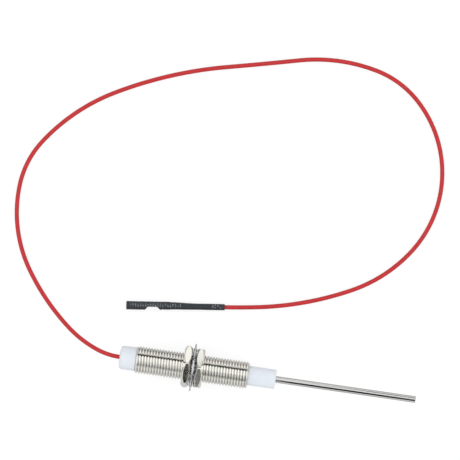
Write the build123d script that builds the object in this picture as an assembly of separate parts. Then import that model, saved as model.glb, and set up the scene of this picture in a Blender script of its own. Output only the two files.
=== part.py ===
from build123d import *
from build123d.topology import SkipClean
import os
from math import acos, ceil, cos, degrees, floor, radians, sin, tan

# Flame sensor probe: a rod electrode in a ceramic insulator, held in a threaded tube that two nuts
# clamp to a burner bracket, with a flexible lead that ends in a sleeved push-on terminal.
#
# Millimetres. +X runs along the probe's axis towards the electrode's tip, +Z is up, and the origin is
# on that axis at the threaded tube's front end face. Behind that face x is negative.

# ---- driving dimensions ----

# threaded tube, M12 x 1.25 along its whole length
THREAD_R = 6.0
THREAD_PITCH = 1.25
THREAD_ROOT_R = 5.235
THREAD_HALF_ANGLE = 30.0
THREAD_CREST_FLAT = THREAD_PITCH / 8
THREAD_BURIED = 0.15
THREAD_RUN_OUT = 3 * THREAD_PITCH
THREAD_DIVISIONS = 11
TUBE_LENGTH = 50.0
TUBE_BORE_R = 4.5
TUBE_END_CHAMFER = 0.7

# clamp set on the tube: hexagon nuts with a toothed lock washer between them
NUT_ACROSS_FLATS = 17.0
NUT_THICKNESS = 3.6
NUT_CHAMFER_ANGLE = 35.0
NUT_FACE_R = 7.9
NUT_COUNTERSINK_R = 6.3
NUT_THREAD_CLEARANCE = 0.1
NUT_THREAD_INNER_R = 5.42
CLAMP_X = -24.5
CLAMP_GAP = 1.8
REAR_NUT_ANGLE = 17.6
FRONT_NUT_ANGLE = 28.0
WASHER_R = 10.5
WASHER_THICKNESS = 0.6
WASHER_RING_INNER_R = 8.3
WASHER_TOOTH_TIP_R = 6.2
WASHER_TOOTH_WIDTH = 1.7
WASHER_TOOTH_TWIST = 35.0
WASHER_TEETH = 12
WASHER_TOOTH_OVERLAP = 0.2

# front insulator, a plain ceramic tube
INSULATOR_R = 4.25
INSULATOR_BORE_R = 1.6
INSULATOR_REACH = 12.2
INSULATOR_REAR_X = -34.0
INSULATOR_EDGE_R = 0.5
CEMENT_LENGTH = 6.0
CEMENT_RECESS = 0.3

# rear insulator, a capped bush whose spigot fits the tube's bore
CAP_R = 5.2
CAP_LENGTH = 7.1
CAP_EDGE_R = 1.3
SPIGOT_R = 4.4
SPIGOT_LENGTH = 12.0
CAP_CAVITY_R = 3.2
CAP_WALL = 3.1
CAP_OUTLET_R = 1.05

# electrode rod, with a groove just inside the insulator's mouth
ROD_R = 1.5
ROD_TIP_X = 74.4
ROD_REAR_X = -40.0
ROD_RELIEF_DEPTH = 0.25
ROD_RELIEF_LENGTH = 1.0
ROD_TIP_CHAMFER = 0.15

# joint between rod and lead
FERRULE_R = 2.25
FERRULE_FRONT_X = -35.5
FERRULE_REAR_X = -46.0
FERRULE_WEB = 0.8
JOINT_SLEEVE_WALL = 0.5
JOINT_SLEEVE_FRONT_X = -35.0
JOINT_SLEEVE_REAR_X = -48.5

# lead: a stranded conductor in a silicone jacket
JACKET_R = 0.95
CONDUCTOR_R = 0.55
JACKET_BORE_R = 0.6
JACKET_REAR_IN_CAP_X = -47.0

# the lead's course from where it leaves the rear insulator: (length, turn in plan, slope at the end)
LEAD_ARCS = [
    (10, -19, -14.3),
    (17, -19, -14.3),
    (31, -18, 0),
    (39, -38, 0),
    (22, -31, 0),
    (39, -26, 0),
    (51, -16, 0),
    (32, 1, 0),
    (35, -27, 0),
    (22, -30, 0),
    (74, -82.5, 0),
    (31, -27.5, 0),
    (43, -17.5, 1.8),
    (14, -2.5, 0),
]

# terminal: a rolled socket, an open neck, a conductor crimp and a jacket grip, from the mouth inwards
SOCKET_BORE_R = 1.2
TERMINAL_STOCK = 0.4
TERMINAL_R = SOCKET_BORE_R + TERMINAL_STOCK
TERMINAL_NECK_R = 1.4
SOCKET_LENGTH = 8.0
SOCKET_SEAM = 0.4
NECK_LENGTH = 7.4
NECK_WALL_TOP = 0.2
CRIMP_LENGTH = 3.4
GRIP_LENGTH = 2.4
GRIP_R = 1.4
TRANSITION = 0.8

# heat-shrunk sleeve over the terminal and the lead's end
SLEEVE_LENGTH = 43.5
SLEEVE_R = 1.9
SLEEVE_WALL = 0.25
SLEEVE_LEAD_R = 1.25
SLEEVE_TAPER_START = 19.0
SLEEVE_TAPER_LENGTH = 11.0
SLEEVE_OVERHANG = 0.3
SLEEVE_NECK_DEPTH = 1.35
SLEEVE_NECK_SLOPE = 1.6
SLEEVE_NECK_MARGIN = 0.1

# room left between pieces that meet
GAP = 0.03

# how far a cutting shape runs past the faces it cuts
OVERCUT = 1.0

THREAD_SLOPE = tan(radians(THREAD_HALF_ANGLE))


def save(shape, node):
    """Writes one node's solids to its own STEP file."""
    export_step(shape, f"parts/{node}.step")


def turned(outline):
    """A solid of revolution about the X axis from an outline of (x, radius) points."""
    return revolve(make_face(Polyline(*outline, close=True)), Axis.X)


def rod_shape(x_start, x_end, radius):
    """A plain round bar along the X axis."""
    return turned([(x_start, 0), (x_end, 0), (x_end, radius), (x_start, radius)])


def ring_shape(x_start, x_end, inner_r, outer_r):
    """A plain round tube along the X axis."""
    return turned([(x_start, inner_r), (x_end, inner_r), (x_end, outer_r), (x_start, outer_r)])


# ---- screw threads ----


def helical_rib(base_r, crest_r, base_width, crest_width, x_start, x_end):
    """A closed helical rib about the X axis, of trapezoid section, in phase with the tube's own thread."""
    first_turn = floor(x_start / THREAD_PITCH) - 1
    turns = ceil((x_end - x_start) / THREAD_PITCH) + 3
    corners = [
        (base_r, -base_width / 2),
        (base_r, base_width / 2),
        (crest_r, crest_width / 2),
        (crest_r, -crest_width / 2),
    ]
    helices = [
        Pos(0, 0, first_turn * THREAD_PITCH + offset)
        * Edge.make_helix(THREAD_PITCH, turns * THREAD_PITCH, radius)
        for radius, offset in corners
    ]
    sides = [Face.make_surface_from_curves(helices[i], helices[(i + 1) % 4]) for i in range(4)]
    ends = [Face(Wire.make_polygon([edge @ t for edge in helices], close=True)) for t in (0, 1)]
    return Rot(0, 90, 0) * Solid(Shell(sides + ends))


def outside_thread(x_start, x_end):
    """The tube's thread as a solid screw between two planes."""
    base_r = THREAD_ROOT_R - THREAD_BURIED
    base_width = THREAD_CREST_FLAT + 2 * (THREAD_R - base_r) * THREAD_SLOPE
    rib = helical_rib(base_r, THREAD_R, base_width, THREAD_CREST_FLAT, x_start, x_end)
    core = rod_shape(x_start - THREAD_RUN_OUT, x_end + THREAD_RUN_OUT, THREAD_ROOT_R)
    return core + rib


def divided(shape, x_start, x_end, count):
    """The same solid with its long helical faces divided into shorter ones along the X axis."""
    length = (x_end - x_start) / count
    width = 3 * THREAD_R
    slab = Box(length, width, width)
    with SkipClean():
        pieces = [shape & Pos(x_start + length * (i + 0.5), 0, 0) * slab for i in range(count)]
        return pieces[0].fuse(*pieces[1:])


def tap(x_start, x_end):
    """The space that a nut's thread leaves: the tube's thread grown by the running clearance."""
    core_r = NUT_THREAD_INNER_R
    base_r = core_r - THREAD_BURIED
    crest_r = THREAD_R + NUT_THREAD_CLEARANCE
    widening = 2 * NUT_THREAD_CLEARANCE / cos(radians(THREAD_HALF_ANGLE))
    full_width = THREAD_CREST_FLAT + widening
    crest_width = full_width - 2 * (crest_r - THREAD_R) * THREAD_SLOPE
    base_width = full_width + 2 * (THREAD_R - base_r) * THREAD_SLOPE
    rib = helical_rib(base_r, crest_r, base_width, crest_width, x_start, x_end)
    core = rod_shape(x_start - THREAD_RUN_OUT, x_end + THREAD_RUN_OUT, core_r)
    return core + rib


def threaded_tube():
    """The nickel-plated tube, threaded from end to end, with both ends chamfered."""
    outer = THREAD_R + OVERCUT
    inner = THREAD_R - TUBE_END_CHAMFER
    rise = outer - inner
    blank = turned(
        [
            (-TUBE_LENGTH, TUBE_BORE_R),
            (0, TUBE_BORE_R),
            (0, inner),
            (-rise, outer),
            (-TUBE_LENGTH + rise, outer),
            (-TUBE_LENGTH, inner),
        ]
    )
    tube = outside_thread(-TUBE_LENGTH, 0) & blank
    return divided(tube, -TUBE_LENGTH, 0, THREAD_DIVISIONS)


# ---- clamp set ----


def hexagon_nut(x_start, corner_angle):
    """A thin hexagon nut chamfered on both faces; corner_angle turns it about the X axis from +Y."""
    x_end = x_start + NUT_THICKNESS
    corner_r = NUT_ACROSS_FLATS / 2 / cos(radians(30))
    chamfer_length = (corner_r - NUT_FACE_R) * tan(radians(NUT_CHAMFER_ANGLE))
    hexagon = Plane.YZ * RegularPolygon(corner_r, 6)
    prism = extrude(Pos(x_start, 0, 0) * Rot(corner_angle, 0, 0) * hexagon, NUT_THICKNESS)
    chamfers = turned(
        [
            (x_start, 0),
            (x_end, 0),
            (x_end, NUT_FACE_R),
            (x_end - chamfer_length, corner_r),
            (x_start + chamfer_length, corner_r),
            (x_start, NUT_FACE_R),
        ]
    )
    sinks = [
        turned([(face_x, 0), (face_x, NUT_COUNTERSINK_R), (face_x + inward, 0)])
        for face_x, inward in ((x_start, NUT_COUNTERSINK_R), (x_end, -NUT_COUNTERSINK_R))
    ]
    return (prism & chamfers) - sinks[0] - sinks[1] - tap(x_start, x_end)


def toothed_washer():
    """The lock washer: a flat ring with teeth twisted out of its plane around the inner edge."""
    half = WASHER_THICKNESS / 2
    washer = ring_shape(CLAMP_X - half, CLAMP_X + half, WASHER_RING_INNER_R, WASHER_R)
    tooth_length = WASHER_RING_INNER_R - WASHER_TOOTH_TIP_R + WASHER_TOOTH_OVERLAP
    middle_r = WASHER_TOOTH_TIP_R + tooth_length / 2
    tooth = Box(WASHER_THICKNESS, tooth_length, WASHER_TOOTH_WIDTH)
    twisted = Pos(0, middle_r, 0) * Rot(0, WASHER_TOOTH_TWIST, 0) * tooth
    for index in range(WASHER_TEETH):
        washer += Pos(CLAMP_X, 0, 0) * Rot(index * 360 / WASHER_TEETH, 0, 0) * twisted
    return washer - rod_shape(CLAMP_X - OVERCUT, CLAMP_X + OVERCUT, WASHER_TOOTH_TIP_R)


# ---- ceramic and electrode ----


def front_insulator():
    """The ceramic tube that carries the electrode out through the front of the threaded tube."""
    body = rod_shape(INSULATOR_REAR_X, INSULATOR_REACH, INSULATOR_R)
    rims = body.edges().filter_by(GeomType.CIRCLE)
    return fillet(rims, INSULATOR_EDGE_R) - rod_shape(INSULATOR_REAR_X, INSULATOR_REACH, INSULATOR_BORE_R)


def front_cement():
    """The cement ring that seals the insulator into the tube's front mouth."""
    return ring_shape(-CEMENT_LENGTH, -CEMENT_RECESS, INSULATOR_R + GAP, TUBE_BORE_R - GAP)


def rear_insulator():
    """The capped bush at the rear, hollow for the joint, with a round outlet for the lead."""
    rear_x = -TUBE_LENGTH - CAP_LENGTH
    head = rod_shape(rear_x, -TUBE_LENGTH, CAP_R)
    head = fillet(head.edges().filter_by(GeomType.CIRCLE).sort_by(Axis.X)[0], CAP_EDGE_R)
    spigot = rod_shape(-TUBE_LENGTH - OVERCUT, -TUBE_LENGTH + SPIGOT_LENGTH, SPIGOT_R)
    cavity = rod_shape(rear_x + CAP_WALL, 0, CAP_CAVITY_R)
    outlet = rod_shape(rear_x - OVERCUT, 0, CAP_OUTLET_R)
    return head + spigot - cavity - outlet


def rear_potting():
    """The compound poured around the lead inside the rear insulator, which anchors it."""
    rear_x = -TUBE_LENGTH - CAP_LENGTH + CAP_WALL
    return ring_shape(rear_x + GAP, JOINT_SLEEVE_REAR_X - GAP, JACKET_R + GAP, CAP_CAVITY_R - GAP)


def electrode_rod():
    """The heat-resistant rod, from the joint ferrule to the sensing tip."""
    neck_r = ROD_R - ROD_RELIEF_DEPTH
    return turned(
        [
            (ROD_REAR_X, 0),
            (ROD_TIP_X, 0),
            (ROD_TIP_X, ROD_R - ROD_TIP_CHAMFER),
            (ROD_TIP_X - ROD_TIP_CHAMFER, ROD_R),
            (INSULATOR_REACH, ROD_R),
            (INSULATOR_REACH, neck_r),
            (INSULATOR_REACH - ROD_RELIEF_LENGTH, neck_r),
            (INSULATOR_REACH - ROD_RELIEF_LENGTH, ROD_R),
            (ROD_REAR_X, ROD_R),
        ]
    )


def joint_ferrule():
    """The butt ferrule crimped on the rod's rear end and on the conductor."""
    web_front = ROD_REAR_X - GAP
    web_rear = web_front - FERRULE_WEB
    blank = rod_shape(FERRULE_REAR_X, FERRULE_FRONT_X, FERRULE_R)
    rod_hole = rod_shape(web_front, FERRULE_FRONT_X, ROD_R + GAP)
    wire_hole = rod_shape(FERRULE_REAR_X, web_rear, CONDUCTOR_R + GAP)
    return blank - rod_hole - wire_hole


def joint_sleeve():
    """The insulating tube pushed over the ferrule."""
    inner_r = FERRULE_R + GAP
    return ring_shape(JOINT_SLEEVE_REAR_X, JOINT_SLEEVE_FRONT_X, inner_r, inner_r + JOINT_SLEEVE_WALL)


# ---- lead ----


def direction(heading, slope):
    """The unit vector with this heading in plan and this slope, both in degrees."""
    flat = cos(radians(slope))
    return Vector(flat * cos(radians(heading)), flat * sin(radians(heading)), sin(radians(slope)))


def lead_course():
    """The lead outside the cap as arcs (start point, start direction, bend axis, radius, angle)."""
    point = Vector(-TUBE_LENGTH - CAP_LENGTH, 0, 0)
    heading, forward = 180.0, Vector(-1, 0, 0)
    arcs = []
    for length, turn, slope in LEAD_ARCS:
        heading += turn
        onward = direction(heading, slope)
        axis = forward.cross(onward).normalized()
        angle = acos(forward.dot(onward))
        radius = length / angle
        arcs.append((point, forward, axis, radius, degrees(angle)))
        inward = axis.cross(forward)
        point = point + forward * (radius * sin(angle)) + inward * (radius * (1 - cos(angle)))
        forward = onward
    return arcs, point, heading


LEAD_COURSE, LEAD_END, LEAD_HEADING = lead_course()


def lead_shape(outer_r, inner_r, x_start, tail):
    """A round tube along the lead's course: straight in the cap, then arc by arc, then a straight tail."""

    def section(point, forward):
        ring = Plane(origin=point, z_dir=forward) * Circle(outer_r)
        return ring - Plane(origin=point, z_dir=forward) * Circle(inner_r) if inner_r else ring

    cap_x = -TUBE_LENGTH - CAP_LENGTH
    pieces = [extrude(section(Vector(x_start, 0, 0), Vector(-1, 0, 0)), x_start - cap_x)]
    for point, forward, axis, radius, angle in LEAD_COURSE:
        centre = point + axis.cross(forward) * radius
        pieces.append(revolve(section(point, forward), Axis(centre, axis), angle))
    pieces.append(extrude(section(LEAD_END, direction(LEAD_HEADING, 0)), tail))
    return pieces[0].fuse(*pieces[1:])


SLEEVED_JACKET = SLEEVE_LENGTH - SLEEVE_OVERHANG - SOCKET_LENGTH - NECK_LENGTH - CRIMP_LENGTH - TRANSITION
SLEEVED_CONDUCTOR = SLEEVED_JACKET + TRANSITION + CRIMP_LENGTH


def lead_jacket():
    """The silicone jacket, from inside the rear insulator to the terminal's grip."""
    return lead_shape(JACKET_R, JACKET_BORE_R, JACKET_REAR_IN_CAP_X, SLEEVED_JACKET)


def lead_conductor():
    """The stranded conductor as one round core, from the ferrule to the terminal's crimp."""
    x_start = ROD_REAR_X - 2 * GAP - FERRULE_WEB
    return lead_shape(CONDUCTOR_R, 0, x_start, SLEEVED_CONDUCTOR)


# ---- terminal end ----


def at_terminal(shape):
    """Places a shape drawn with its mouth at the origin, its body along -X and its open side on -Y."""
    mouth = LEAD_END + direction(LEAD_HEADING, 0) * (SLEEVE_LENGTH - SLEEVE_OVERHANG)
    return Pos(mouth.X, mouth.Y, mouth.Z) * Rot(0, 0, LEAD_HEADING) * Rot(180, 0, 0) * shape


def push_on_terminal():
    """The brass terminal: rolled socket, half-open neck, crimp on the conductor, grip on the jacket."""
    neck_x = -SOCKET_LENGTH
    crimp_x = neck_x - NECK_LENGTH
    crimp_end = crimp_x - CRIMP_LENGTH
    grip_x = crimp_end - TRANSITION
    grip_end = grip_x - GRIP_LENGTH
    grip_inner = JACKET_R + GAP
    crimp_inner = CONDUCTOR_R + GAP
    socket = ring_shape(neck_x, 0, SOCKET_BORE_R, TERMINAL_R)
    neck = ring_shape(crimp_x, neck_x, TERMINAL_NECK_R - TERMINAL_STOCK, TERMINAL_NECK_R)
    crimp = ring_shape(crimp_end, crimp_x, crimp_inner, TERMINAL_R)
    grip = ring_shape(grip_end, grip_x, grip_inner, GRIP_R)
    width = 3 * TERMINAL_R
    upper_half = Pos(grip_x, width / 2, 0) * Box(width, width, width)
    strap = ring_shape(grip_x, crimp_end, grip_inner, GRIP_R) & upper_half
    seam = Pos(-SOCKET_LENGTH / 2, -TERMINAL_R, 0) * Box(SOCKET_LENGTH, TERMINAL_R, SOCKET_SEAM)
    neck_middle = neck_x - NECK_LENGTH / 2
    neck_opening = Pos(neck_middle, NECK_WALL_TOP - width / 2, 0) * Box(NECK_LENGTH, width, width)
    return socket - seam + (neck - neck_opening) + crimp + grip + strap


def sleeve_envelope(shrink):
    """The sleeve's outer form, or with shrink its inner form, with the hollow over the terminal's neck."""
    large = SLEEVE_R - shrink
    small = SLEEVE_LEAD_R - shrink
    start = -SLEEVE_TAPER_START
    body = turned(
        [
            (0, 0),
            (0, large),
            (start, large),
            (start - SLEEVE_TAPER_LENGTH, small),
            (-SLEEVE_LENGTH, small),
            (-SLEEVE_LENGTH, 0),
        ]
    )
    neck_middle = -SLEEVE_OVERHANG - SOCKET_LENGTH - NECK_LENGTH / 2
    floor_y = -SLEEVE_R + SLEEVE_NECK_DEPTH + shrink
    half = NECK_LENGTH / 2 - SLEEVE_NECK_MARGIN
    outside_y = -SLEEVE_R - OVERCUT
    hollow = make_face(
        Polyline(
            (neck_middle - half, outside_y),
            (neck_middle - half, -SLEEVE_R),
            (neck_middle - half + SLEEVE_NECK_SLOPE, floor_y),
            (neck_middle + half - SLEEVE_NECK_SLOPE, floor_y),
            (neck_middle + half, -SLEEVE_R),
            (neck_middle + half, outside_y),
            close=True,
        )
    )
    return body - extrude(hollow, 2 * SLEEVE_R, both=True)


def shrink_sleeve():
    """The heat-shrunk sleeve."""
    return Pos(SLEEVE_OVERHANG, 0, 0) * (sleeve_envelope(0) - sleeve_envelope(SLEEVE_WALL))


# ---- every node ----


def build():
    """Makes every node and writes its STEP file."""
    os.makedirs("parts", exist_ok=True)
    save(threaded_tube(), "threaded_tube")
    save(hexagon_nut(CLAMP_X - CLAMP_GAP / 2 - NUT_THICKNESS, REAR_NUT_ANGLE), "rear_nut")
    save(hexagon_nut(CLAMP_X + CLAMP_GAP / 2, FRONT_NUT_ANGLE), "front_nut")
    save(toothed_washer(), "lock_washer")
    save(front_insulator(), "front_insulator")
    save(front_cement(), "front_cement")
    save(rear_insulator(), "rear_insulator")
    save(rear_potting(), "rear_potting")
    save(electrode_rod(), "electrode_rod")
    save(joint_ferrule(), "joint_ferrule")
    save(joint_sleeve(), "joint_sleeve")
    save(lead_jacket(), "lead_jacket")
    save(lead_conductor(), "lead_conductor")
    save(at_terminal(push_on_terminal()), "push_on_terminal")
    save(at_terminal(shrink_sleeve()), "shrink_sleeve")


build()
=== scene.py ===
from math import acos, ceil, cos, pi, radians, sin, tan

import bmesh
import bpy
import numpy as np
from mathutils import Matrix, Vector, noise


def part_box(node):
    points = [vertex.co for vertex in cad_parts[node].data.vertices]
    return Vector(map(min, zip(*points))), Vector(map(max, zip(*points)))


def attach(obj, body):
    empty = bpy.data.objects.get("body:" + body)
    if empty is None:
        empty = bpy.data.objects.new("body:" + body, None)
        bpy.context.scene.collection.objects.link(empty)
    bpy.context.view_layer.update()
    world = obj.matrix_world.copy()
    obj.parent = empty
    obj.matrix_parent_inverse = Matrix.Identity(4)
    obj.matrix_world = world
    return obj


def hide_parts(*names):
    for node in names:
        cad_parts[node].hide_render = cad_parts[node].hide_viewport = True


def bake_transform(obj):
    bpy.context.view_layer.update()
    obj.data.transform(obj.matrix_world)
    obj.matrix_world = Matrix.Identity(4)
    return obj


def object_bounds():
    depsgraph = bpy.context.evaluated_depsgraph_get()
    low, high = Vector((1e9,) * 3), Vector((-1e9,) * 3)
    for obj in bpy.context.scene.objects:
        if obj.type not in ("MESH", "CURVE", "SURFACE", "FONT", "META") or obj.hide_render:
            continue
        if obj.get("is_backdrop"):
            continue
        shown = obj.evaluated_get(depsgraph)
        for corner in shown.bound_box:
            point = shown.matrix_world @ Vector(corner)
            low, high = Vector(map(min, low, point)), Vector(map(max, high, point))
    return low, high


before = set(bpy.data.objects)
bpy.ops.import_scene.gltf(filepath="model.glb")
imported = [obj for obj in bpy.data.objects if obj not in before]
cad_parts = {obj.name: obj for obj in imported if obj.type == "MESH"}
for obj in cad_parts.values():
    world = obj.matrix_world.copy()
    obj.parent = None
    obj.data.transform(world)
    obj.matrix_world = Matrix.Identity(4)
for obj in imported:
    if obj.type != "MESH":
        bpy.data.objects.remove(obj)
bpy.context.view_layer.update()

# Lengths below are in millimetres and are scaled to metres when a mesh is made. The part's own frame
# has +X along the probe's axis towards the electrode's tip and the origin at the tube's front end.
MM = 0.001

# ---- sizes that the frame's boxes don't give ----

THREAD_PITCH = 1.25
THREAD_R = 6.0
THREAD_ROOT_R = 5.235
THREAD_HALF_ANGLE = radians(30)
THREAD_SLOPE = tan(THREAD_HALF_ANGLE)
THREAD_CREST_FLAT = THREAD_PITCH / 8
THREAD_EDGE_ROUND = 0.09
# how far beside a thread's corners its extra rows lie, in turns
ROWS_ON_FLAT = 0.02
ROWS_ON_FLANK = 0.03
THREAD_CREST_WORN = 0.29
TUBE_BORE_R = 4.5
TUBE_END_R = 5.3
TUBE_END_SET_BACK = 0.05
TUBE_END_EASE = 0.08
TUBE_FACE_R = 5.1
TUBE_BORE_ROUND = 0.15
TUBE_SEGMENTS = 120

NUT_APOTHEM = 8.5
NUT_FACE_R = 7.9
NUT_CHAMFER_SLOPE = 1 / tan(radians(35))
NUT_EDGE_ROUND = 0.09
NUT_CORNER_POWER = 90
NUT_WIDTH = 3.6
NUT_CHAMFER_ZONE = 0.3
NUT_SEGMENTS = 360
NUT_FACE_SET_BACK = 0.15
NUT_SINK_R = 6.3
NUT_SINK_SET_BACK = 0.05
NUT_THREAD_INNER_R = 5.42
NUT_THREAD_CLEARANCE = 0.1
REAR_NUT_CORNER = 17.6
FRONT_NUT_CORNER = 28.0

INSULATOR_BORE_R = 1.6
CAP_EDGE_R = 1.2
CAP_DOME = 0.35
CAP_CAVITY_R = 3.2
CAP_WALL = 3.1
CAP_OUTLET_R = 1.05
SPIGOT_R = 4.4
TUBE_REAR_X = -50.0
ROD_TIP_ROUND = 0.25
ROD_GROOVE_DEPTH = 0.25
ROD_GROOVE_LENGTH = 1.0

JACKET_R = 0.95
JACKET_BORE_R = 0.6
JACKET_START_X = -47.0
CONDUCTOR_START_X = -40.86
STRAND_R = 0.18
STRAND_LAY = 11.0
LEAD_ARCS = [
    (10, -19, -14.3),
    (17, -19, -14.3),
    (31, -18, 0),
    (39, -38, 0),
    (22, -31, 0),
    (39, -26, 0),
    (51, -16, 0),
    (32, 1, 0),
    (35, -27, 0),
    (22, -30, 0),
    (74, -82.5, 0),
    (31, -27.5, 0),
    (43, -17.5, 1.8),
    (14, -2.5, 0),
]
LEAD_STEP = 1.0
CAP_EXIT_X = -57.1
JACKET_TAIL = 23.6
CONDUCTOR_TAIL = 27.8
BEND_NEAR_CAP = 80.0
BEND_NEAR_SLEEVE = 76.0

SLEEVE_LENGTH = 43.5
SLEEVE_R = 1.88
SLEEVE_WALL = 0.25
SLEEVE_THIN_R = 1.47
SLEEVE_CRIMP_SWELL = 0.05
SLEEVE_GRIP_DRAW = 0.12
SLEEVE_SIDE_SLACK = 0.25
SLEEVE_SHOULDER = 0.55
SLEEVE_HOLLOW_FLAT = 0.46
SLEEVE_LIP = 0.12
SLEEVE_RIPPLE = 0.035
SLEEVE_SIDES = 64

# where the sleeve's radius and its flattened side change, in millimetres from its mouth
SWELL_RISE = (15.5, 16.4)
DRAW_FALL = (18.6, 19.8)
TAPER = (19.0, 31.0)
HOLLOW_IN = (7.9, 9.7)
HOLLOW_OUT = (13.4, 15.6)
SHOULDER_IN = (15.0, 15.8)
SHOULDER_OUT = (21.0, 30.0)


# ---- meshes ----


def finish_mesh(name, points, faces, material, sharp=32.0):
    """A mesh object from points in millimetres, welded, with its normals outside and smooth shading."""
    mesh = bpy.data.meshes.new(name)
    mesh.from_pydata((np.asarray(points) * MM).tolist(), [], faces)
    work = bmesh.new()
    work.from_mesh(mesh)
    bmesh.ops.remove_doubles(work, verts=work.verts, dist=2e-7)
    bmesh.ops.dissolve_degenerate(work, edges=work.edges, dist=1e-7)
    bmesh.ops.recalc_face_normals(work, faces=work.faces)
    work.to_mesh(mesh)
    work.free()
    mesh.shade_smooth()
    mesh.set_sharp_from_angle(angle=radians(sharp))
    mesh.materials.append(material)
    made = bpy.data.objects.new(name, mesh)
    bpy.context.scene.collection.objects.link(made)
    return made


def skin_faces(rows, columns, closed):
    """Quads over a grid of rows by columns; closed joins the last row to the first."""
    last = rows if closed else rows - 1
    faces = []
    for row in range(last):
        onward = (row + 1) % rows
        for column in range(columns - 1):
            faces.append(
                (
                    row * columns + column,
                    row * columns + column + 1,
                    onward * columns + column + 1,
                    onward * columns + column,
                )
            )
    return faces


def around_axis(name, rows, material, sharp=32.0):
    """A closed skin about the X axis from rows of (x, radius) at even angles measured from +Y to +Z."""
    grid = np.array(rows)
    angles = np.linspace(0, 2 * pi, grid.shape[1])
    points = np.stack(
        [grid[..., 0], grid[..., 1] * np.cos(angles), grid[..., 1] * np.sin(angles)], axis=-1
    )
    faces = skin_faces(grid.shape[0], grid.shape[1], True)
    return finish_mesh(name, points.reshape(-1, 3), faces, material, sharp)


def rounded_loop(corners, steps=5):
    """An outline of (x, radius) from corners (x, radius, rounding), each rounded by a short curve."""
    points = []
    count = len(corners)
    for index, (x, r, rounding) in enumerate(corners):
        here = np.array([x, r], float)
        if rounding <= 0:
            points.append(here)
            continue
        before = np.array(corners[index - 1][:2], float) - here
        after = np.array(corners[(index + 1) % count][:2], float) - here
        start = here + before / np.linalg.norm(before) * rounding
        end = here + after / np.linalg.norm(after) * rounding
        for t in np.linspace(0, 1, steps + 1):
            points.append((1 - t) ** 2 * start + 2 * t * (1 - t) * here + t * t * end)
    return points


def lathe(name, corners, material, segments=128, sharp=32.0):
    """A turned piece about the X axis from its rounded outline."""
    rows = [[tuple(point)] * (segments + 1) for point in rounded_loop(corners)]
    return around_axis(name, rows, material, sharp)


def place(piece, body, slot, *nodes):
    """Rides a piece on its body and hides the CAD nodes it stands for."""
    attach(piece, body)
    if nodes:
        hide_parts(*nodes)
    return piece


def soft_min(a, b, width):
    """The smaller of two values, rounded where they are within width of each other."""
    mix = np.clip(0.5 + 0.5 * (b - a) / width, 0, 1)
    return b + (a - b) * mix - width * mix * (1 - mix)


# ---- threads ----


def thread_radius(phase, crest_r, root_r, crest_flat):
    """The radius of a rounded trapezoid thread, with phase in turns from the middle of the crest."""
    away = np.abs((phase + 0.5) % 1.0 - 0.5) * THREAD_PITCH
    flank = crest_r - (away - crest_flat / 2) / THREAD_SLOPE
    top = soft_min(flank, np.full_like(flank, crest_r), THREAD_EDGE_ROUND)
    return -soft_min(-top, np.full_like(flank, -root_r), THREAD_EDGE_ROUND)


def thread_phases(crest_flat, depth):
    """Where a thread's rows lie within one turn, closest together at the profile's corners."""
    edge = crest_flat / 2 / THREAD_PITCH
    foot = edge + depth * THREAD_SLOPE / THREAD_PITCH
    flat, flank = ROWS_ON_FLAT, ROWS_ON_FLANK
    half = [0, edge - flat, edge, edge + flank, (edge + foot) / 2, foot - flank, foot, foot + flat]
    half = [share for share in half if 0 <= share < 0.5] + [0.5]
    return half + [1 - share for share in reversed(half[1:-1])]


def thread_rows(x_start, x_end, crest_r, root_r, crest_flat, segments):
    """Rows that follow the right-hand helix from before x_start to after x_end, held between the two."""
    angles = np.linspace(0, 1, segments + 1)
    phases = thread_phases(crest_flat, crest_r - root_r)
    first = int(np.floor(x_start / THREAD_PITCH)) - 2
    last = int(np.ceil(x_end / THREAD_PITCH)) + 1
    rows = []
    for turn in range(first, last):
        for phase in phases:
            x = THREAD_PITCH * (turn + phase + angles + 0.25)
            held = np.clip(x, x_start, x_end)
            shift = (held - x) / THREAD_PITCH
            radius = thread_radius(phase + shift, crest_r, root_r, crest_flat)
            rows.append(np.stack([held, radius], axis=-1))
    return rows


def threaded_tube(material):
    """The tube: a real helical thread with chamfered ends, round the plain bore."""
    low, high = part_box("threaded_tube")
    x_start, x_end = low.x / MM, high.x / MM
    rows = thread_rows(x_start, x_end, THREAD_R, THREAD_ROOT_R, THREAD_CREST_WORN, TUBE_SEGMENTS)
    for row in rows:
        inward = np.minimum(row[:, 0] - x_start, x_end - row[:, 0])
        row[:, 1] = soft_min(row[:, 1], TUBE_END_R - TUBE_END_SET_BACK + inward, TUBE_END_EASE)
        row[:, 1] = np.where(inward <= 0, TUBE_END_R - TUBE_END_EASE, row[:, 1])
    inside = rounded_loop(
        [
            (x_end, TUBE_FACE_R, 0),
            (x_end, TUBE_BORE_R, TUBE_BORE_ROUND),
            (x_start, TUBE_BORE_R, TUBE_BORE_ROUND),
            (x_start, TUBE_FACE_R, 0),
        ]
    )
    rows += [np.tile(point, (TUBE_SEGMENTS + 1, 1)) for point in inside]
    return around_axis("threaded_tube_skin", rows, material, sharp=40.0)


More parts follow.
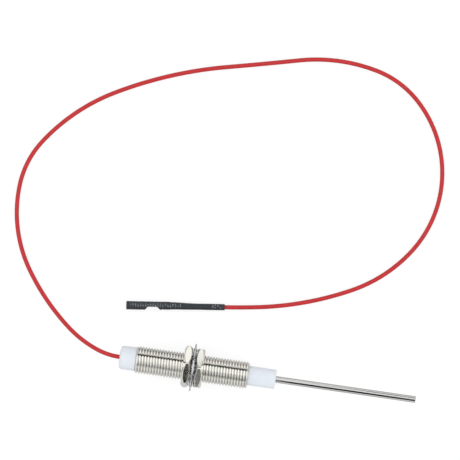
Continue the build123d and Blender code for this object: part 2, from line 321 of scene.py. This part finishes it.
def hexagon_nut(node, corner, material):
    """A nut with softened hexagon corners, chamfered faces, countersinks and its own inside thread."""
    low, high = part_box(node)
    x_start, x_end = low.x / MM, high.x / MM
    angles = np.linspace(0, 2 * pi, NUT_SEGMENTS + 1)
    facets = radians(corner + 30) + np.arange(6) * pi / 3
    facing = np.maximum(np.cos(angles[:, None] - facets[None, :]), 0)
    hexagon = NUT_APOTHEM / (facing**NUT_CORNER_POWER).sum(axis=1) ** (1 / NUT_CORNER_POWER)
    first_edge = np.linspace(0, NUT_CHAMFER_ZONE, 7)
    between = np.linspace(1.2 * NUT_CHAMFER_ZONE, NUT_WIDTH - 1.2 * NUT_CHAMFER_ZONE, 40)
    last_edge = np.linspace(NUT_WIDTH - NUT_CHAMFER_ZONE, NUT_WIDTH, 7)
    rows = []
    for x in np.concatenate([first_edge, between, last_edge]):
        inward = min(x, x_end - x_start - x)
        cone = NUT_FACE_R + NUT_CHAMFER_SLOPE * inward
        radius = soft_min(hexagon, np.full_like(hexagon, cone), NUT_EDGE_ROUND)
        rows.append(np.stack([np.full_like(radius, x_start + x), radius], axis=-1))
    crest_flat = THREAD_CREST_FLAT + 2 * NUT_THREAD_CLEARANCE / cos(THREAD_HALF_ANGLE)
    outer_r = THREAD_R + NUT_THREAD_CLEARANCE
    crest_flat -= 2 * NUT_THREAD_CLEARANCE * THREAD_SLOPE
    inside = thread_rows(x_start, x_end, outer_r, NUT_THREAD_INNER_R, crest_flat, NUT_SEGMENTS)
    for row in inside:
        inward = np.minimum(row[:, 0] - x_start, x_end - row[:, 0])
        row[:, 1] = np.maximum(row[:, 1], NUT_SINK_R - inward)
    face = [NUT_FACE_R - NUT_FACE_SET_BACK, NUT_SINK_R + NUT_SINK_SET_BACK]
    rows += [np.tile((x_end, r), (NUT_SEGMENTS + 1, 1)) for r in face]
    rows += inside[::-1]
    rows += [np.tile((x_start, r), (NUT_SEGMENTS + 1, 1)) for r in reversed(face)]
    return around_axis(node + "_skin", rows, material, sharp=40.0)


# ---- turned pieces ----


def front_insulator(material):
    low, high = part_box("front_insulator")
    r = high.y / MM
    x_start, x_end = low.x / MM, high.x / MM
    corners = [
        (x_start, r, 0.5),
        (x_end, r, 0.45),
        (x_end, INSULATOR_BORE_R, 0.2),
        (x_start, INSULATOR_BORE_R, 0.2),
    ]
    return lathe("front_insulator_skin", corners, material)


def rear_insulator(material):
    low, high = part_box("rear_insulator")
    rear, front, r = low.x / MM, high.x / MM, high.y / MM
    corners = [
        (rear, r * 0.55, 0),
        (rear + CAP_DOME, r, CAP_EDGE_R),
        (TUBE_REAR_X, r, 0.15),
        (TUBE_REAR_X, SPIGOT_R, 0),
        (front, SPIGOT_R, 0.3),
        (front, CAP_CAVITY_R, 0.2),
        (rear + CAP_WALL, CAP_CAVITY_R, 0),
        (rear + CAP_WALL, CAP_OUTLET_R, 0),
        (rear, CAP_OUTLET_R, 0.2),
    ]
    return lathe("rear_insulator_skin", corners, material)


def electrode_rod(material):
    low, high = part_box("electrode_rod")
    insulator_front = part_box("front_insulator")[1].x / MM
    groove_start = insulator_front - ROD_GROOVE_LENGTH
    rear, tip, r = low.x / MM, high.x / MM, high.y / MM
    corners = [
        (rear, 0, 0),
        (rear, r, 0.2),
        (groove_start, r, 0),
        (groove_start, r - ROD_GROOVE_DEPTH, 0),
        (insulator_front, r - ROD_GROOVE_DEPTH, 0),
        (insulator_front, r, 0),
        (tip, r, ROD_TIP_ROUND),
        (tip, 0, 0),
    ]
    return lathe("electrode_rod_skin", corners, material, segments=96)


# ---- lead ----


def direction(heading, slope):
    """The unit vector with this heading in plan and this slope, both in degrees."""
    flat = cos(radians(slope))
    return Vector((flat * cos(radians(heading)), flat * sin(radians(heading)), sin(radians(slope))))


def lead_centre_line(start_x, tail, step=LEAD_STEP):
    """The lead's course from start_x inside the cap to the end of a tail inside the sleeve.

    Returns its points, its directions, each point's run from the cap's outlet, and the run at the
    end of the last arc.
    """
    points, ways, runs = [], [], []
    straight = start_x - CAP_EXIT_X
    for i in range(ceil(straight / step)):
        points.append(Vector((start_x - straight * i / ceil(straight / step), 0, 0)))
        ways.append(Vector((-1, 0, 0)))
        runs.append(points[-1].x * -1 + CAP_EXIT_X)
    point, forward, heading, run = Vector((CAP_EXIT_X, 0, 0)), Vector((-1, 0, 0)), 180.0, 0.0
    for length, turn, slope in LEAD_ARCS:
        heading += turn
        onward = direction(heading, slope)
        axis = forward.cross(onward).normalized()
        angle = acos(forward.dot(onward))
        radius = length / angle
        inward = axis.cross(forward)
        count = ceil(length / step)
        for i in range(count):
            bend = angle * i / count
            points.append(point + forward * radius * sin(bend) + inward * radius * (1 - cos(bend)))
            ways.append(Matrix.Rotation(bend, 3, axis) @ forward)
            runs.append(run + length * i / count)
        point = point + forward * radius * sin(angle) + inward * radius * (1 - cos(angle))
        forward = onward
        run += length
    for i in range(ceil(tail / step) + 1):
        points.append(point + forward * tail * i / ceil(tail / step))
        ways.append(forward.copy())
        runs.append(run + tail * i / ceil(tail / step))
    return points, ways, np.array(runs), run


def cord_mesh(name, points, ways, offsets, radius, sides, material, bore=0.0):
    """Round cords along a centre line; offsets gives each cord's place across it at each point."""
    up = Vector((0, 0, 1))
    verts, faces = [], []
    for offset in offsets:
        ring_starts = []
        for wall, reverse in ((radius, False), (bore, True)):
            if wall == 0:
                continue
            start = len(verts)
            ring_starts.append(start)
            for (across, above), point, way in zip(offset, points, ways):
                side = up.cross(way).normalized()
                top = way.cross(side)
                centre = point + side * across + top * above
                for k in range(sides):
                    turn = 2 * pi * k / sides
                    verts.append(tuple(centre + (side * cos(turn) + top * sin(turn)) * wall))
            for row in range(len(points) - 1):
                for k in range(sides):
                    a, b = start + row * sides + k, start + row * sides + (k + 1) % sides
                    faces.append((a, b, b + sides, a + sides))
        last = (len(points) - 1) * sides
        for shift in (0, last):
            if len(ring_starts) == 2:
                outer, inner = ring_starts[0] + shift, ring_starts[1] + shift
                for k in range(sides):
                    n = (k + 1) % sides
                    faces.append((outer + k, outer + n, inner + n, inner + k))
            else:
                faces.append(tuple(ring_starts[0] + shift + k for k in range(sides)))
    return finish_mesh(name, verts, faces, material, sharp=50.0)


def lead_piece(prefix, start_x, tail, offsets, radius, sides, material, node, bore=0.0):
    """The lead in three stretches: one near the cap, one riding in the middle, one near the sleeve."""
    points, ways, runs, total = lead_centre_line(start_x, tail)
    near = int(np.searchsorted(runs, BEND_NEAR_CAP))
    far = int(np.searchsorted(runs, total - BEND_NEAR_SLEEVE))
    stretches = [("near", 0, near + 1), ("middle", near, far + 1), ("far", far, len(points))]
    pieces = []
    for label, first, last in stretches:
        places = [offset[first:last] for offset in offsets(runs)]
        piece = cord_mesh(
            f"{prefix}_{label}", points[first:last], ways[first:last], places, radius, sides, material, bore
        )
        pieces.append(piece)
    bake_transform(pieces[0])
    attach(pieces[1], "lead")
    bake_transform(pieces[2])
    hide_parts(node)
    return pieces


def single(runs):
    """One cord on the centre line."""
    return [[(0.0, 0.0)] * len(runs)]


def twisted_seven(runs):
    """Seven strands: one in the middle and six laid round it."""
    strands = [[(0.0, 0.0)] * len(runs)]
    for index in range(6):
        turns = runs / STRAND_LAY * 2 * pi + index * pi / 3
        reach = 2 * STRAND_R
        strands.append([(reach * cos(t), reach * sin(t)) for t in turns])
    return strands


# ---- sleeve ----


def sleeve_section(u):
    """The sleeve's radius and the distance of its flattened side, u millimetres from its mouth."""

    def step(start, end):
        t = min(1.0, max(0.0, (u - start) / (end - start)))
        return t * t * (3 - 2 * t)

    radius = SLEEVE_R
    radius += SLEEVE_CRIMP_SWELL * step(*SWELL_RISE) - SLEEVE_GRIP_DRAW * step(*DRAW_FALL)
    radius += (SLEEVE_THIN_R - SLEEVE_R) * step(*TAPER)
    hollow = step(*HOLLOW_IN) * (1 - step(*HOLLOW_OUT))
    shoulder = SLEEVE_SHOULDER * step(*SHOULDER_IN) * (1 - step(*SHOULDER_OUT))
    flat = (radius + SLEEVE_SIDE_SLACK - shoulder) * (1 - hollow) + SLEEVE_HOLLOW_FLAT * hollow
    return radius, flat


def sleeve_mouth():
    """Where the sleeve's mouth is and which way it faces."""
    points, ways, _, _ = lead_centre_line(JACKET_START_X, SLEEVE_LENGTH)
    return points[-1], ways[-1]


def shrink_sleeve(material):
    """The heat-shrunk sleeve, drawn down over the terminal's neck and the lead, with its open mouth."""
    mouth, way = sleeve_mouth()
    side = Vector((0, 0, 1)).cross(way).normalized()
    top = Vector((0, 0, 1))
    sides = SLEEVE_SIDES
    stations = np.concatenate(
        [np.linspace(0, 7, 15), np.linspace(7.2, 21, 90), np.linspace(21.3, SLEEVE_LENGTH, 60)]
    )

    def row(u, shrink):
        radius, flat = sleeve_section(u)
        ring = []
        for k in range(sides + 1):
            turn = 2 * pi * k / sides
            facing = max(cos(turn), 1e-3)
            r = float(soft_min(np.array(radius), np.array(flat / facing), 0.5)) - shrink
            r += SLEEVE_RIPPLE * noise.noise(Vector((u * 0.8, cos(turn) * 1.3, sin(turn) * 1.3)))
            ring.append(tuple(mouth - way * u + side * (r * cos(turn)) + top * (r * sin(turn))))
        return ring

    rows = [row(u, 0.0) for u in stations]
    rows.append(row(SLEEVE_LENGTH, SLEEVE_LIP))
    rows += [row(u, SLEEVE_WALL) for u in stations[::-1]]
    rows.append(row(0.0, SLEEVE_LIP))
    faces = skin_faces(len(rows), sides + 1, True)
    return finish_mesh("shrink_sleeve_skin", np.array(rows).reshape(-1, 3), faces, material, sharp=60.0)


# ---- materials ----


class Shader:
    """A short way to write one material's nodes."""

    def __init__(self, name):
        self.material = bpy.data.materials.new(name)
        self.material.use_nodes = True
        self.nodes = self.material.node_tree.nodes
        self.links = self.material.node_tree.links
        self.base = self.nodes["Principled BSDF"]
        self.place = self.nodes.new("ShaderNodeTexCoord").outputs["Object"]

    def add(self, kind, settings=None, **inputs):
        """Adds a node, sets its settings, and feeds each input from a socket or a value."""
        node = self.nodes.new(kind)
        for key, value in (settings or {}).items():
            setattr(node, key, value)
        for key, value in inputs.items():
            self.feed(node.inputs[key.replace("_", " ")], value)
        return node

    def feed(self, socket, value):
        if isinstance(value, bpy.types.NodeSocket):
            self.links.new(value, socket)
        else:
            socket.default_value = value

    def stretched(self, scale):
        """The object's own coordinates, stretched by a scale for each axis."""
        return self.add("ShaderNodeMapping", Vector=self.place, Scale=scale).outputs["Vector"]

    def noise(self, scale, detail=3.0, place=None, roughness=0.5):
        node = self.add("ShaderNodeTexNoise", Vector=place or self.place, Scale=scale, Detail=detail)
        node.inputs["Roughness"].default_value = roughness
        return node.outputs["Fac"]

    def span(self, value, low, high, to_low, to_high):
        """Maps a value from one range to another, held at the ends."""
        node = self.add("ShaderNodeMapRange", Value=value)
        node.inputs["From Min"].default_value = low
        node.inputs["From Max"].default_value = high
        node.inputs["To Min"].default_value = to_low
        node.inputs["To Max"].default_value = to_high
        return node.outputs["Result"]

    def math(self, operation, a, b=0.0):
        node = self.nodes.new("ShaderNodeMath")
        node.operation = operation
        self.feed(node.inputs[0], a)
        self.feed(node.inputs[1], b)
        return node.outputs[0]

    def mix(self, factor, a, b):
        node = self.nodes.new("ShaderNodeMix")
        node.data_type = "RGBA"
        self.feed(node.inputs["Factor"], factor)
        self.feed(node.inputs["A"], a if isinstance(a, bpy.types.NodeSocket) else (*a, 1.0))
        self.feed(node.inputs["B"], b if isinstance(b, bpy.types.NodeSocket) else (*b, 1.0))
        return node.outputs["Result"]

    def bump(self, height, distance, strength=1.0, normal=None):
        node = self.add("ShaderNodeBump", Height=height, Distance=distance, Strength=strength)
        if normal is not None:
            self.links.new(normal, node.inputs["Normal"])
        return node.outputs["Normal"]

    def distance_along(self, start, way):
        """The distance from a start point along a direction."""
        dot = self.nodes.new("ShaderNodeVectorMath")
        dot.operation = "DOT_PRODUCT"
        self.links.new(self.place, dot.inputs[0])
        dot.inputs[1].default_value = way
        return self.math("SUBTRACT", dot.outputs["Value"], start.dot(way))

    def between(self, value, low, high):
        """One where a value is between two others, and nought elsewhere."""
        above = self.math("GREATER_THAN", value, low)
        return self.math("MULTIPLY", above, self.math("LESS_THAN", value, high))

    def axis_distance(self):
        """The distance from the probe's axis."""
        parts = self.add("ShaderNodeSeparateXYZ", Vector=self.place).outputs
        square = self.math("ADD", self.math("POWER", parts["Y"], 2.0), self.math("POWER", parts["Z"], 2.0))
        return self.math("SQRT", square)

    def set(self, **inputs):
        for key, value in inputs.items():
            self.feed(self.base.inputs[key.replace("_", " ")], value)
        return self.material


def nickel_thread():
    """Nickel plate with painted shade: darker and a little warmer towards the thread's roots, bright at the
    crests, with a fine mottle.
    """
    s = Shader("nickel_thread")
    # painted shade: the colour runs from the dark root colour in the thread's grooves to the bright crest
    # colour
    root_shade_mask = s.span(s.axis_distance(), THREAD_ROOT_R * MM, THREAD_R * MM, 0.0, 1.0)
    mottle = s.noise(450.0, 4.0)
    low = s.mix(mottle, (0.58, 0.57, 0.54), (0.72, 0.715, 0.68))
    high = s.mix(mottle, (0.89, 0.885, 0.84), (0.97, 0.965, 0.93))
    grain = s.noise(5200.0, 3.0)
    turning = s.noise(60.0, 2.0, s.stretched((60.0, 1.0, 1.0)))
    height = s.math("ADD", grain, s.math("MULTIPLY", turning, 1.6))
    return s.set(
        Base_Color=s.mix(root_shade_mask, low, high),
        Metallic=1.0,
        Roughness=s.span(mottle, 0.3, 0.7, 0.10, 0.18),
        Normal=s.bump(height, 0.000004),
    )


def nickel_nut():
    """Brighter nickel on the nuts, with shallow tumbling marks."""
    s = Shader("nickel_nut")
    mottle = s.noise(600.0, 5.0)
    dents = s.noise(1500.0, 2.0)
    fine = s.noise(7000.0, 2.0)
    height = s.math("ADD", dents, s.math("MULTIPLY", fine, 0.4))
    return s.set(
        Base_Color=s.mix(mottle, (0.80, 0.78, 0.71), (0.95, 0.94, 0.88)),
        Metallic=1.0,
        Roughness=s.span(mottle, 0.3, 0.7, 0.06, 0.14),
        Normal=s.bump(height, 0.000015),
    )


def spring_steel():
    """Plain stamped steel, slightly blue, with a rolled grain."""
    s = Shader("spring_steel")
    grain = s.noise(900.0, 4.0, s.stretched((1.0, 1.0, 12.0)))
    return s.set(
        Base_Color=s.mix(grain, (0.46, 0.48, 0.51), (0.72, 0.74, 0.77)),
        Metallic=1.0,
        Roughness=s.span(grain, 0.3, 0.7, 0.20, 0.36),
        Normal=s.bump(grain, 0.000008),
    )


def fired_ceramic(name, tint, speck):
    """Unglazed alumina: a cool white body with faint specks, a sanded bump and a soft inner light."""
    s = Shader(name)
    cloud = s.noise(160.0, 3.0)
    specks = s.span(s.noise(3800.0, 2.0), 0.66, 0.74, 0.0, 0.35)
    body = s.mix(cloud, tint, tuple(min(1.0, c * 1.05) for c in tint))
    grain = s.noise(4200.0, 5.0)
    turned = s.noise(90.0, 2.0, s.stretched((30.0, 1.0, 1.0)))
    height = s.math("ADD", grain, s.math("MULTIPLY", turned, 0.8))
    s.base.inputs["Subsurface Radius"].default_value = (0.0012, 0.0013, 0.0015)
    return s.set(
        Base_Color=s.mix(specks, body, speck),
        Roughness=s.span(cloud, 0.3, 0.7, 0.40, 0.55),
        Subsurface_Weight=0.15,
        Subsurface_Scale=1.0,
        Normal=s.bump(height, 0.00001),
    )


def cast_compound(name, dark, light):
    """Cement or potting: a cast, slightly porous surface."""
    s = Shader(name)
    pores = s.noise(2600.0, 6.0, roughness=0.7)
    return s.set(
        Base_Color=s.mix(pores, dark, light),
        Roughness=0.8,
        Normal=s.bump(pores, 0.00006),
    )


def drawn_rod():
    """Drawn heat-resistant rod: streaks along a bright grey metal."""
    s = Shader("drawn_rod")
    streaks = s.noise(2600.0, 4.0, s.stretched((0.012, 1.0, 1.0)))
    cloud = s.noise(120.0, 2.0)
    return s.set(
        Base_Color=s.mix(streaks, (0.44, 0.44, 0.435), (0.75, 0.75, 0.74)),
        Metallic=1.0,
        Roughness=s.span(cloud, 0.3, 0.7, 0.10, 0.20),
        Normal=s.bump(streaks, 0.000012),
    )


def turned_metal(name, dark, light):
    """Small crimped metal parts: tinned or bare, softly scratched."""
    s = Shader(name)
    scratch = s.noise(1800.0, 5.0, s.stretched((0.3, 1.0, 1.0)))
    return s.set(
        Base_Color=s.mix(scratch, dark, light),
        Metallic=1.0,
        Roughness=s.span(scratch, 0.3, 0.7, 0.24, 0.42),
        Normal=s.bump(scratch, 0.00001),
    )


def silicone():
    """The lead's red silicone: satin, faintly chalky, with painted shade that darkens it towards its edges
    as they turn away from view.
    """
    s = Shader("red_silicone")
    cloud = s.noise(220.0, 4.0)
    chalk = s.span(s.noise(2400.0, 4.0), 0.56, 0.72, 0.0, 0.22)
    # painted shade: a view-facing mask that mixes the red towards a dark red along the lead's edges
    edge = s.add("ShaderNodeLayerWeight", Blend=0.35).outputs["Facing"]
    middle = s.mix(cloud, (0.53, 0.016, 0.019), (0.66, 0.028, 0.032))
    body = s.mix(s.span(edge, 0.25, 0.75, 0.0, 1.0), middle, (0.22, 0.008, 0.010))
    skin = s.noise(3000.0, 3.0)
    waves = s.noise(260.0, 1.0)
    height = s.math("ADD", s.math("MULTIPLY", skin, 0.35), waves)
    return s.set(
        Base_Color=s.mix(chalk, body, (0.74, 0.16, 0.16)),
        Roughness=s.span(cloud, 0.3, 0.7, 0.36, 0.50),
        Specular_IOR_Level=0.38,
        Subsurface_Weight=0.08,
        Subsurface_Scale=0.0008,
        Normal=s.bump(height, 0.00003),
    )


def heat_shrink():
    """Black polyolefin sleeve with a drawn skin and a row of faint plain bars along its upper side."""
    s = Shader("heat_shrink")
    mouth, way = sleeve_mouth()
    side = Vector((0, 0, 1)).cross(way).normalized()
    along = s.distance_along(mouth * MM, -way)
    across = s.distance_along(mouth * MM, -side)
    above = s.distance_along(mouth * MM, Vector((0, 0, 1)))
    stroke = s.math("GREATER_THAN", s.math("FRACT", s.math("MULTIPLY", along, 1 / 0.0011)), 0.55)
    broken = s.span(s.noise(1500.0, 2.0), 0.44, 0.56, 0.0, 1.0)
    near_mouth = s.between(along, 0.0014, 0.0245)
    near_lead = s.between(along, 0.0375, 0.0425)
    band = s.math("MULTIPLY", s.between(across, -0.0005, 0.0011), s.math("GREATER_THAN", above, 0.0))
    printed = s.math("MULTIPLY", s.math("MAXIMUM", near_mouth, near_lead), band)
    bars = s.math("MULTIPLY", s.math("MULTIPLY", stroke, broken), s.math("MULTIPLY", printed, 0.55))
    cloud = s.noise(300.0, 4.0)
    scuff = s.span(s.noise(1500.0, 6.0, roughness=0.7), 0.55, 0.75, 0.0, 0.5)
    body = s.mix(cloud, (0.012, 0.016, 0.020), (0.028, 0.034, 0.040))
    skin = s.noise(900.0, 5.0)
    return s.set(
        Base_Color=s.mix(bars, s.mix(scuff, body, (0.11, 0.12, 0.135)), (0.36, 0.38, 0.40)),
        Roughness=s.span(cloud, 0.3, 0.7, 0.38, 0.55),
        Normal=s.bump(skin, 0.00004),
    )


def clear_tube():
    """The joint's natural PTFE sleeve."""
    s = Shader("clear_tube")
    cloud = s.noise(500.0, 3.0)
    return s.set(
        Base_Color=s.mix(cloud, (0.72, 0.71, 0.67), (0.84, 0.83, 0.79)),
        Roughness=0.45,
        Normal=s.bump(cloud, 0.00002),
    )


def paper_floor():
    """The plain pale floor."""
    s = Shader("studio_floor")
    seen = s.add("ShaderNodeLightPath").outputs["Is Camera Ray"]
    grain = s.noise(90.0, 2.0)
    return s.set(
        Base_Color=s.mix(seen, s.mix(grain, (0.55, 0.55, 0.55), (0.57, 0.57, 0.57)), (0.30, 0.30, 0.30)),
        Roughness=1.0,
        Specular_IOR_Level=0.0,
        Emission_Color=(1.0, 1.0, 1.0, 1.0),
        Emission_Strength=s.span(seen, 0.0, 1.0, 0.14, 0.77),
    )


# ---- the object ----


def dress_node(node, material):
    """Gives a CAD node that stays visible its material."""
    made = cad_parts[node]
    made.data.materials.clear()
    made.data.materials.append(material)


def build_object():
    nut = nickel_nut()
    ceramic = fired_ceramic("fired_ceramic", (0.81, 0.86, 0.93), (0.66, 0.68, 0.73))
    bush = fired_ceramic("bush_ceramic", (0.80, 0.85, 0.91), (0.65, 0.67, 0.72))
    place(threaded_tube(nickel_thread()), "probe", "nickel_plate", "threaded_tube")
    place(hexagon_nut("rear_nut", REAR_NUT_CORNER, nut), "rear_nut", "nut_nickel", "rear_nut")
    place(hexagon_nut("front_nut", FRONT_NUT_CORNER, nut), "front_nut", "nut_nickel", "front_nut")
    place(front_insulator(ceramic), "probe", "alumina", "front_insulator")
    place(rear_insulator(bush), "probe", "alumina", "rear_insulator")
    place(electrode_rod(drawn_rod()), "probe", "rod_steel", "electrode_rod")
    lead_piece(
        "lead_jacket", JACKET_START_X, JACKET_TAIL, single, JACKET_R, 28, silicone(),
        "lead_jacket", JACKET_BORE_R,
    )
    copper = turned_metal("copper_strands", (0.55, 0.28, 0.16), (0.80, 0.48, 0.32))
    lead_piece(
        "lead_conductor", CONDUCTOR_START_X, CONDUCTOR_TAIL, twisted_seven, STRAND_R, 8, copper,
        "lead_conductor",
    )
    place(shrink_sleeve(heat_shrink()), "terminal_end", "sleeve_black", "shrink_sleeve")
    cement = cast_compound("cement", (0.60, 0.58, 0.52), (0.80, 0.78, 0.72))
    potting = cast_compound("potting", (0.66, 0.66, 0.64), (0.82, 0.82, 0.80))
    ferrule = turned_metal("ferrule_tin", (0.58, 0.55, 0.50), (0.80, 0.77, 0.71))
    terminal = turned_metal("terminal_tin", (0.60, 0.55, 0.44), (0.84, 0.79, 0.66))
    dress_node("lock_washer", spring_steel())
    dress_node("front_cement", cement)
    dress_node("rear_potting", potting)
    dress_node("joint_ferrule", ferrule)
    dress_node("joint_sleeve", clear_tube())
    dress_node("push_on_terminal", terminal)


# ---- studio ----

PROBE_TILT = 8.2
VIEW_CENTRE = (-17.0, 62.2, 0.0)
VIEW_WIDTH = 202.4
LENS = 300.0
SENSOR = 36.0
FLOOR_GAP = 0.3


# dark flags beside the object: (first x, last x, first bearing, last bearing, distance, level), with
# bearings in degrees from straight up towards +Y
FLAGS = [
    (-62.0, 3.0, 39.0, 58.0, 150.0, 0.0),
    (9.0, 115.0, -60.0, -4.0, 150.0, 0.02),
    (-32.0, -24.4, -46.0, -25.0, 60.0, 0.02),
    (-24.4, -17.0, -68.0, -44.0, 60.0, 0.16),
]

# how far a direction leans along the probe before the surround carries the first flag's band on
SIDEWAYS = 0.08

# brightness of the surround against bearing, in degrees from straight up towards +Y
SURROUND = [
    (-90, 0.95),
    (-62, 0.90),
    (-54, 0.60),
    (-44, 0.60),
    (-34, 0.95),
    (-8, 1.20),
    (34, 1.20),
    (60, 1.03),
    (90, 1.08),
]


def glow(name, level):
    """A plain emission of one brightness."""
    material = bpy.data.materials.new(name)
    material.use_nodes = True
    nodes, links = material.node_tree.nodes, material.node_tree.links
    nodes.clear()
    emission = nodes.new("ShaderNodeEmission")
    emission.inputs["Color"].default_value = (level, level, level, 1.0)
    links.new(emission.outputs[0], nodes.new("ShaderNodeOutputMaterial").inputs["Surface"])
    return material


def dark_flags():
    """Cards that only the metals' reflections see."""
    for index, (x_start, x_end, low, high, distance, level) in enumerate(FLAGS):
        points = []
        for x, bearing in ((x_start, low), (x_end, low), (x_end, high), (x_start, high)):
            points.append((x, distance * sin(radians(bearing)), distance * cos(radians(bearing))))
        mesh = bpy.data.meshes.new(f"dark_flag_{index}")
        mesh.from_pydata((np.array(points) * MM).tolist(), [], [(0, 1, 2, 3)])
        mesh.materials.append(glow(f"dark_flag_{index}", level))
        flag = bpy.data.objects.new(f"dark_flag_{index}", mesh)
        bpy.context.scene.collection.objects.link(flag)
        flag.visible_camera = False
        flag.visible_diffuse = False
        flag.visible_transmission = False
        flag.visible_shadow = False
        flag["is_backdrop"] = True


def surround():
    """A soft bright surround in long bands along the probe, whose brightness follows a surface's tilt.

    A surface tilted by an angle from straight up, as the camera overhead sees it, reflects the band
    with twice that bearing, whatever its tilt along the probe.
    """
    world = bpy.data.worlds.new("studio")
    bpy.context.scene.world = world
    world.use_nodes = True
    nodes, links = world.node_tree.nodes, world.node_tree.links

    def math(operation, a, b=0.0):
        node = nodes.new("ShaderNodeMath")
        node.operation = operation
        for socket, value in zip(node.inputs, (a, b)):
            if isinstance(value, bpy.types.NodeSocket):
                links.new(value, socket)
            else:
                socket.default_value = value
        return node.outputs[0]

    split = nodes.new("ShaderNodeSeparateXYZ")
    links.new(nodes.new("ShaderNodeTexCoord").outputs["Generated"], split.inputs[0])
    tilt = math("ARCTAN2", split.outputs["Y"], math("ADD", split.outputs["Z"], 1.0))
    bearing = math("MULTIPLY", tilt, 360 / pi)
    ramp = nodes.new("ShaderNodeValToRGB")
    links.new(math("DIVIDE", math("ADD", bearing, 90.0), 180.0), ramp.inputs["Fac"])
    elements = ramp.color_ramp.elements
    while len(elements) < len(SURROUND):
        elements.new(0.5)
    for element, (degrees_up, level) in zip(elements, SURROUND):
        element.position = (degrees_up + 90) / 180
        element.color = (level, level, level, 1.0)
    low, high = FLAGS[0][2:4]
    inside = math("MULTIPLY", math("GREATER_THAN", bearing, low), math("LESS_THAN", bearing, high))
    sideways = math("GREATER_THAN", math("ABSOLUTE", split.outputs["X"]), SIDEWAYS)
    links.new(ramp.outputs["Color"], nodes["Background"].inputs["Color"])
    strength = math("SUBTRACT", 1.0, math("MULTIPLY", inside, sideways))
    links.new(strength, nodes["Background"].inputs["Strength"])


def studio():
    """A plain pale floor, a soft surround with dark flags, and the camera overhead."""
    low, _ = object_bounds()
    bpy.ops.mesh.primitive_plane_add(size=6.0, location=(0, 0, low.z - FLOOR_GAP * MM))
    floor = bpy.context.object
    floor.name = "studio_floor"
    floor.data.materials.append(paper_floor())
    floor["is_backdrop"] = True
    surround()
    dark_flags()
    camera = bpy.data.cameras.new("camera")
    camera.lens = LENS
    camera.sensor_width = SENSOR
    camera.clip_start = 0.05
    camera.clip_end = 20.0
    seen = bpy.data.objects.new("camera", camera)
    bpy.context.scene.collection.objects.link(seen)
    seen.location = (Vector(VIEW_CENTRE) + Vector((0, 0, VIEW_WIDTH / SENSOR * LENS))) * MM
    seen.rotation_euler = (0, 0, radians(PROBE_TILT))
    bpy.context.scene.camera = seen
    bpy.context.scene.view_settings.view_transform = "Standard"


build_object()
studio()
